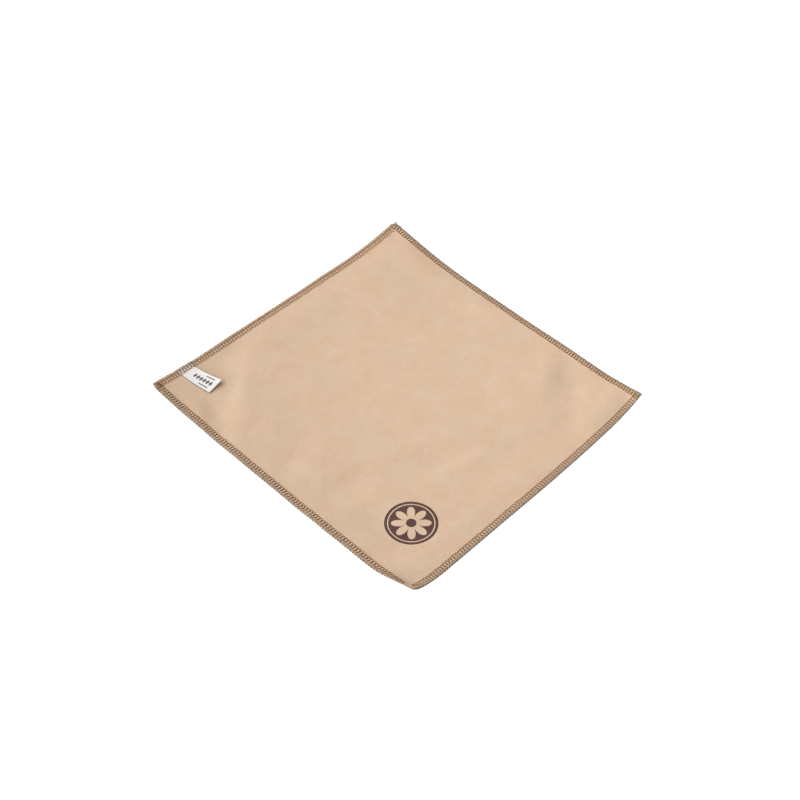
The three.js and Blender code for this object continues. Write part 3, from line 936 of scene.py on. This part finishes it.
def tube(name, path, diameter, sides=5):
    """A closed thread along a path, with a UV map of its length in diameters and its turn."""
    tiny, aslant = 1e-6, (0.3, 0.2, 1)
    steps = np.diff(path, axis=0)
    lengths = np.linalg.norm(steps, axis=1)
    keep = np.concatenate([[True], lengths > tiny])
    path = path[keep]
    steps = np.diff(path, axis=0)
    lengths = np.linalg.norm(steps, axis=1)
    steps /= lengths[:, None]
    # A thread that turns straight back has no mean direction, so it keeps its next step's.
    both = steps[1:] + steps[:-1]
    both = np.where(np.linalg.norm(both, axis=1, keepdims=True) > tiny, both, steps[1:])
    tangents = np.vstack([steps[:1], both, steps[-1:]])
    tangents /= np.linalg.norm(tangents, axis=1)[:, None]
    # No thread starts along the slanting direction, so the first side is square to its start.
    side = np.cross(tangents[0], aslant)
    sideways = np.zeros_like(tangents)
    for i, tangent in enumerate(tangents):
        side = side - tangent * side.dot(tangent)
        side = side / np.linalg.norm(side)
        sideways[i] = side
    upwards = np.cross(tangents, sideways)
    angles = np.arange(sides) * 2 * math.pi / sides
    cosines, sines = np.cos(angles)[None, :, None], np.sin(angles)[None, :, None]
    rings = path[:, None] + diameter / 2 * (sideways[:, None] * cosines + upwards[:, None] * sines)
    row = np.arange(len(path) - 1)[:, None] * sides
    here = np.arange(sides)[None, :]
    following = (here + 1) % sides
    next_row = row + sides
    quads = np.stack([row + here, row + following, next_row + following, next_row + here], axis=-1)
    last = (len(path) - 1) * sides
    caps = [list(range(sides))[::-1], list(range(last, last + sides))]
    mesh = bpy.data.meshes.new(name)
    mesh.from_pydata(rings.reshape(-1, 3), [], [*quads.reshape(-1, 4).tolist(), *caps])
    reach = np.concatenate([[0], np.cumsum(lengths)]) / diameter
    near, far, left, right = np.broadcast_arrays(
        reach[:-1, None], reach[1:, None], here / sides, (here + 1) / sides
    )
    corners = ((near, left), (near, right), (far, right), (far, left))
    around = np.stack([np.stack(pair, axis=-1) for pair in corners], axis=2)
    uvs = np.vstack([around.reshape(-1, 2), np.zeros((2 * sides, 2))])
    mesh.uv_layers.new(name="thread")
    mesh.uv_layers[0].data.foreach_set("uv", uvs.astype(np.float32).ravel())
    mesh.shade_smooth()
    piece = bpy.data.objects.new(name, mesh)
    bpy.context.scene.collection.objects.link(piece)
    return piece


class CLOTH_OT_seams(bpy.types.Operator):
    """Make the three overlock threads of each side"""

    bl_idname = "cloth.make_seams"
    bl_label = "Overlocked Seams"

    def execute(self, context):
        sizes, colours = context.scene.cloth_sizes, context.scene.cloth_colours
        lie = Lie(sizes)
        upper = spun_thread("spun polyester looper thread", colours.upper, sizes.upper)
        lower = spun_thread("textured polyester looper thread", colours.lower, sizes.lower)
        needle = spun_thread("spun polyester needle thread", colours.needle, sizes.needle)
        kinds = (
            ("upper_looper", UPPER_STITCH, sizes.upper, upper, "looper_thread"),
            ("lower_looper", LOWER_STITCH, sizes.lower, lower, "looper_thread"),
            ("needle", NEEDLE_STITCH, sizes.needle, needle, "needle_thread"),
        )
        draws = np.random.default_rng(THREAD_SEED)
        for seam in seam_table(sizes):
            for kind, stitch, diameter, material, slot in kinds:
                path = thread_path(lie, sizes, seam, stitch, diameter, draws)
                thread = tube(f"{seam[0]}_{kind}_stitches", path, diameter)
                thread.data.materials.append(material)
                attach(thread, "root")
                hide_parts(f"{seam[0]}_{kind}_thread")
        return {"FINISHED"}


class CLOTH_OT_chain_ends(bpy.types.Operator):
    """Make the knotted ends that the thread chains leave at the corners"""

    bl_idname = "cloth.make_chain_ends"
    bl_label = "Thread Chain Ends"

    def execute(self, context):
        sizes = context.scene.cloth_sizes
        lie = Lie(sizes)
        # A trefoil knot of radius 1, open between its ends and a little flattened.
        turn = np.linspace(0.1, 2 * math.pi, 30)
        trefoil = np.stack(
            [
                (np.sin(turn) + 2 * np.sin(2 * turn)) / 3,
                (np.cos(turn) - 2 * np.cos(2 * turn)) / 3,
                np.sin(3 * turn) * 0.75,
            ],
            axis=-1,
        )
        ends = []
        for name, (share_x, share_y), step, radius, tint in CHAIN_ENDS:
            tip = lie.place(share_x * sizes.width, share_y * sizes.depth, 0)
            path = tip + np.array(step) + (radius - sizes.lower / 2) * trefoil
            ends.append((name, path, f"knotted polyester thread of the {name}", tint))
        # Down beside the left cut edge, round the corner's turn and along the front one.
        bend = np.linspace(0, math.pi / 2, 7)
        down = np.linspace(LEAD_LEFT_END, LEAD_TURN + LEAD_STEP, 9)
        along = np.linspace(LEAD_TURN + LEAD_STEP, LEAD_FRONT_END, 5)
        turn_x, turn_y = LEAD_TURN * (1 - np.cos(bend)), LEAD_TURN * (1 - np.sin(bend))
        x = np.concatenate([np.full_like(down, LEAD_INSET), turn_x, along])
        y = np.concatenate([down, turn_y, np.full_like(along, LEAD_INSET)])
        path = lie.place(x, y, np.full_like(x, -LEAD_INSET))
        ends.append(
            ("front_left_lead_in_thread", path, "spun polyester lead-in thread", LEAD_COLOUR)
        )
        for name, path, material, tint in ends:
            thread = tube(name, path, sizes.lower)
            thread.data.materials.append(spun_thread(material, linear(tint), sizes.lower))
            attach(thread, "root")
        return {"FINISHED"}


# Label


class CLOTH_OT_label(bpy.types.Operator):
    """Make the folded satin label that the rear seam holds"""

    bl_idname = "cloth.make_label"
    bl_label = "Satin Label"

    def execute(self, context):
        sizes, colours = context.scene.cloth_sizes, context.scene.cloth_colours
        lie = Lie(sizes)
        half = BEND_INSET - TAIL_INSET + sizes.label_length
        ribbon, across, along = grid("satin_label", *RIBBON_CELLS)

        # The lower half runs out from the seam to the fold, and the upper half comes back over it.
        from_fold = half * np.abs(1 - 2 * along) ** CROWDING
        inset = TAIL_INSET + half - from_fold
        share = np.clip((inset - BEND_INSET) / sizes.label_length, 0, 1)
        middle = 4 * share * (1 - share)
        split = ROOT_SPLIT + MIDDLE_SPLIT * np.sin(math.pi * share)
        closing = np.sqrt(1 - np.clip(1 - from_fold / FOLD_RADIUS, 0, 1) ** 2)
        lift = STEP_UP * np.clip((inset - STEP_START) / STEP_LENGTH, 0, 1)
        lift = lift + (NEAR_LIFT * (1 - across) + FAR_LIFT * across) * share**2
        lift = lift + FAR_BOW * across * middle
        height = sizes.thickness / 2 + PLY / 2 + lift + np.where(along > 0.5, split * closing, 0)
        x = sizes.label_start + across * sizes.label_width
        x = x + (DRIFT + FAR_DRIFT * across) * share - SIDE_BOW * middle
        y = sizes.depth - inset + FAR_BACK * across * share
        set_vertices(ribbon, lie.place(x, y, height))

        flat = uv_array(ribbon)
        spread = np.sign(flat[:, 1] - 0.5) * np.abs(2 * flat[:, 1] - 1) ** CROWDING
        set_uvs(ribbon, np.column_stack([flat[:, 0], 0.5 + spread / 2]))
        apply_modifier(ribbon, "SOLIDIFY", thickness=PLY, offset=0)
        bpy.ops.object.shade_smooth_by_angle(angle=RIBBON_ANGLE)
        ribbon.data.materials.append(satin_ribbon("white satin ribbon", sizes, colours, 2 * half))
        centre = sizes.label_start + sizes.label_width / 2
        start = lie.place(centre, sizes.depth - BEND_START, BEND_HEIGHT)
        end = lie.place(centre, sizes.depth - BEND_END, BEND_HEIGHT)
        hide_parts("label_tail", "label_flap")
        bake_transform(ribbon)
        return {"FINISHED"}


# Studio


def towards(turn, height):
    """The direction at a turn from +X and a height, both as angles."""
    flat = math.cos(height)
    return Vector((math.cos(turn) * flat, math.sin(turn) * flat, math.sin(height)))


class CLOTH_OT_studio(bpy.types.Operator):
    """Make the pale floor, the soft lights and the camera"""

    bl_idname = "cloth.make_studio"
    bl_label = "Studio"

    def execute(self, context):
        studio, sizes = context.scene.cloth_studio, context.scene.cloth_sizes
        deselect()
        bpy.ops.mesh.primitive_plane_add(size=FLOOR_SIDE)
        floor = context.active_object
        floor.name = floor.data.name = "studio_floor"
        # It is lit from below, so it looks pure white. The cloth gets only what a grey floor
        # throws back, or the glow would light its curled edges.
        material, tree = start_material("opal acrylic light table")
        seen = add(tree, "ShaderNodeLightPath").outputs["Is Camera Ray"]
        surface = add(
            tree,
            "ShaderNodeBsdfPrincipled",
            {
                "Base Color": rgba(linear("A8A8A8")),
                "Roughness": 0.9,
                "Specular IOR Level": 0.1,
                "Emission Color": (1, 1, 1, 1),
                "Emission Strength": seen,
            },
        )
        add(tree, "ShaderNodeOutputMaterial", {"Surface": surface.outputs[0]})
        floor.data.materials.append(material)

        world = bpy.data.worlds.new("studio")
        world.use_nodes = True
        sky = world.node_tree.nodes["Background"]
        sky.inputs["Color"].default_value = (1, 1, 1, 1)
        sky.inputs["Strength"].default_value = studio.sky
        context.scene.world = world
        context.scene.view_settings.view_transform = "Standard"

        aim = Vector((*(Lie(sizes).offset + np.array(AIM)), 0))
        back = towards(studio.azimuth - math.pi / 2, studio.elevation)
        camera_data = bpy.data.cameras.new("camera")
        camera_data.lens = studio.lens
        camera = bpy.data.objects.new("camera", camera_data)
        context.scene.collection.objects.link(camera)
        camera.rotation_mode = "QUATERNION"
        camera.location = aim + back * studio.distance
        tilt = Quaternion((0, 0, 1), studio.roll)
        camera.rotation_quaternion = (-back).to_track_quat("-Z", "Y") @ tilt
        context.scene.camera = camera

        to_key = towards(studio.key_turn, studio.key_height)
        bpy.ops.object.light_add(type="SUN", location=aim + to_key)
        key = context.active_object
        key.name = "key_light"
        key.data.energy = studio.key
        key.data.angle = KEY_SPREAD
        key.rotation_mode = "QUATERNION"
        key.rotation_quaternion = to_key.to_track_quat("Z", "Y")
        bpy.ops.object.light_add(type="AREA", location=aim + Vector(TOP_PLACE))
        top = context.active_object
        top.name = "top_light"
        top.data.shape = "DISK"
        top.data.size = TOP_WIDTH
        top.data.energy = studio.top
        return {"FINISHED"}


class CLOTH_PT_sidebar(bpy.types.Panel):
    """The cloth's makers and their settings"""

    bl_label = "Cleaning Cloth"
    bl_idname = "CLOTH_PT_sidebar"
    bl_space_type = "VIEW_3D"
    bl_region_type = "UI"
    bl_category = "Cloth"

    def draw(self, context):
        for group_name, _ in GROUPS:
            group = getattr(context.scene, group_name)
            box = self.layout.box()
            for name in group.__annotations__:
                box.prop(group, name)
        for maker in MAKERS:
            self.layout.operator(maker.bl_idname)


MAKERS = (CLOTH_OT_studio, CLOTH_OT_panel, CLOTH_OT_seams, CLOTH_OT_chain_ends, CLOTH_OT_label)
GROUPS = (
    ("cloth_sizes", ClothSizes),
    ("cloth_colours", ClothColours),
    ("cloth_studio", StudioSettings),
)


def register():
    """Registers the properties, the operators and the panel."""
    for name, group in GROUPS:
        bpy.utils.register_class(group)
        setattr(bpy.types.Scene, name, PointerProperty(type=group))
    for cls in (*MAKERS, CLOTH_PT_sidebar):
        bpy.utils.register_class(cls)


def unregister():
    """Removes all that register adds."""
    for cls in (CLOTH_PT_sidebar, *reversed(MAKERS)):
        bpy.utils.unregister_class(cls)
    for name, group in reversed(GROUPS):
        delattr(bpy.types.Scene, name)
        bpy.utils.unregister_class(group)


def main():
    """Makes the whole cloth."""
    register()
    bpy.ops.cloth.make_studio()
    bpy.ops.cloth.make_panel()
    bpy.ops.cloth.make_seams()
    bpy.ops.cloth.make_chain_ends()
    bpy.ops.cloth.make_label()


if __name__ == "__main__":
    main()
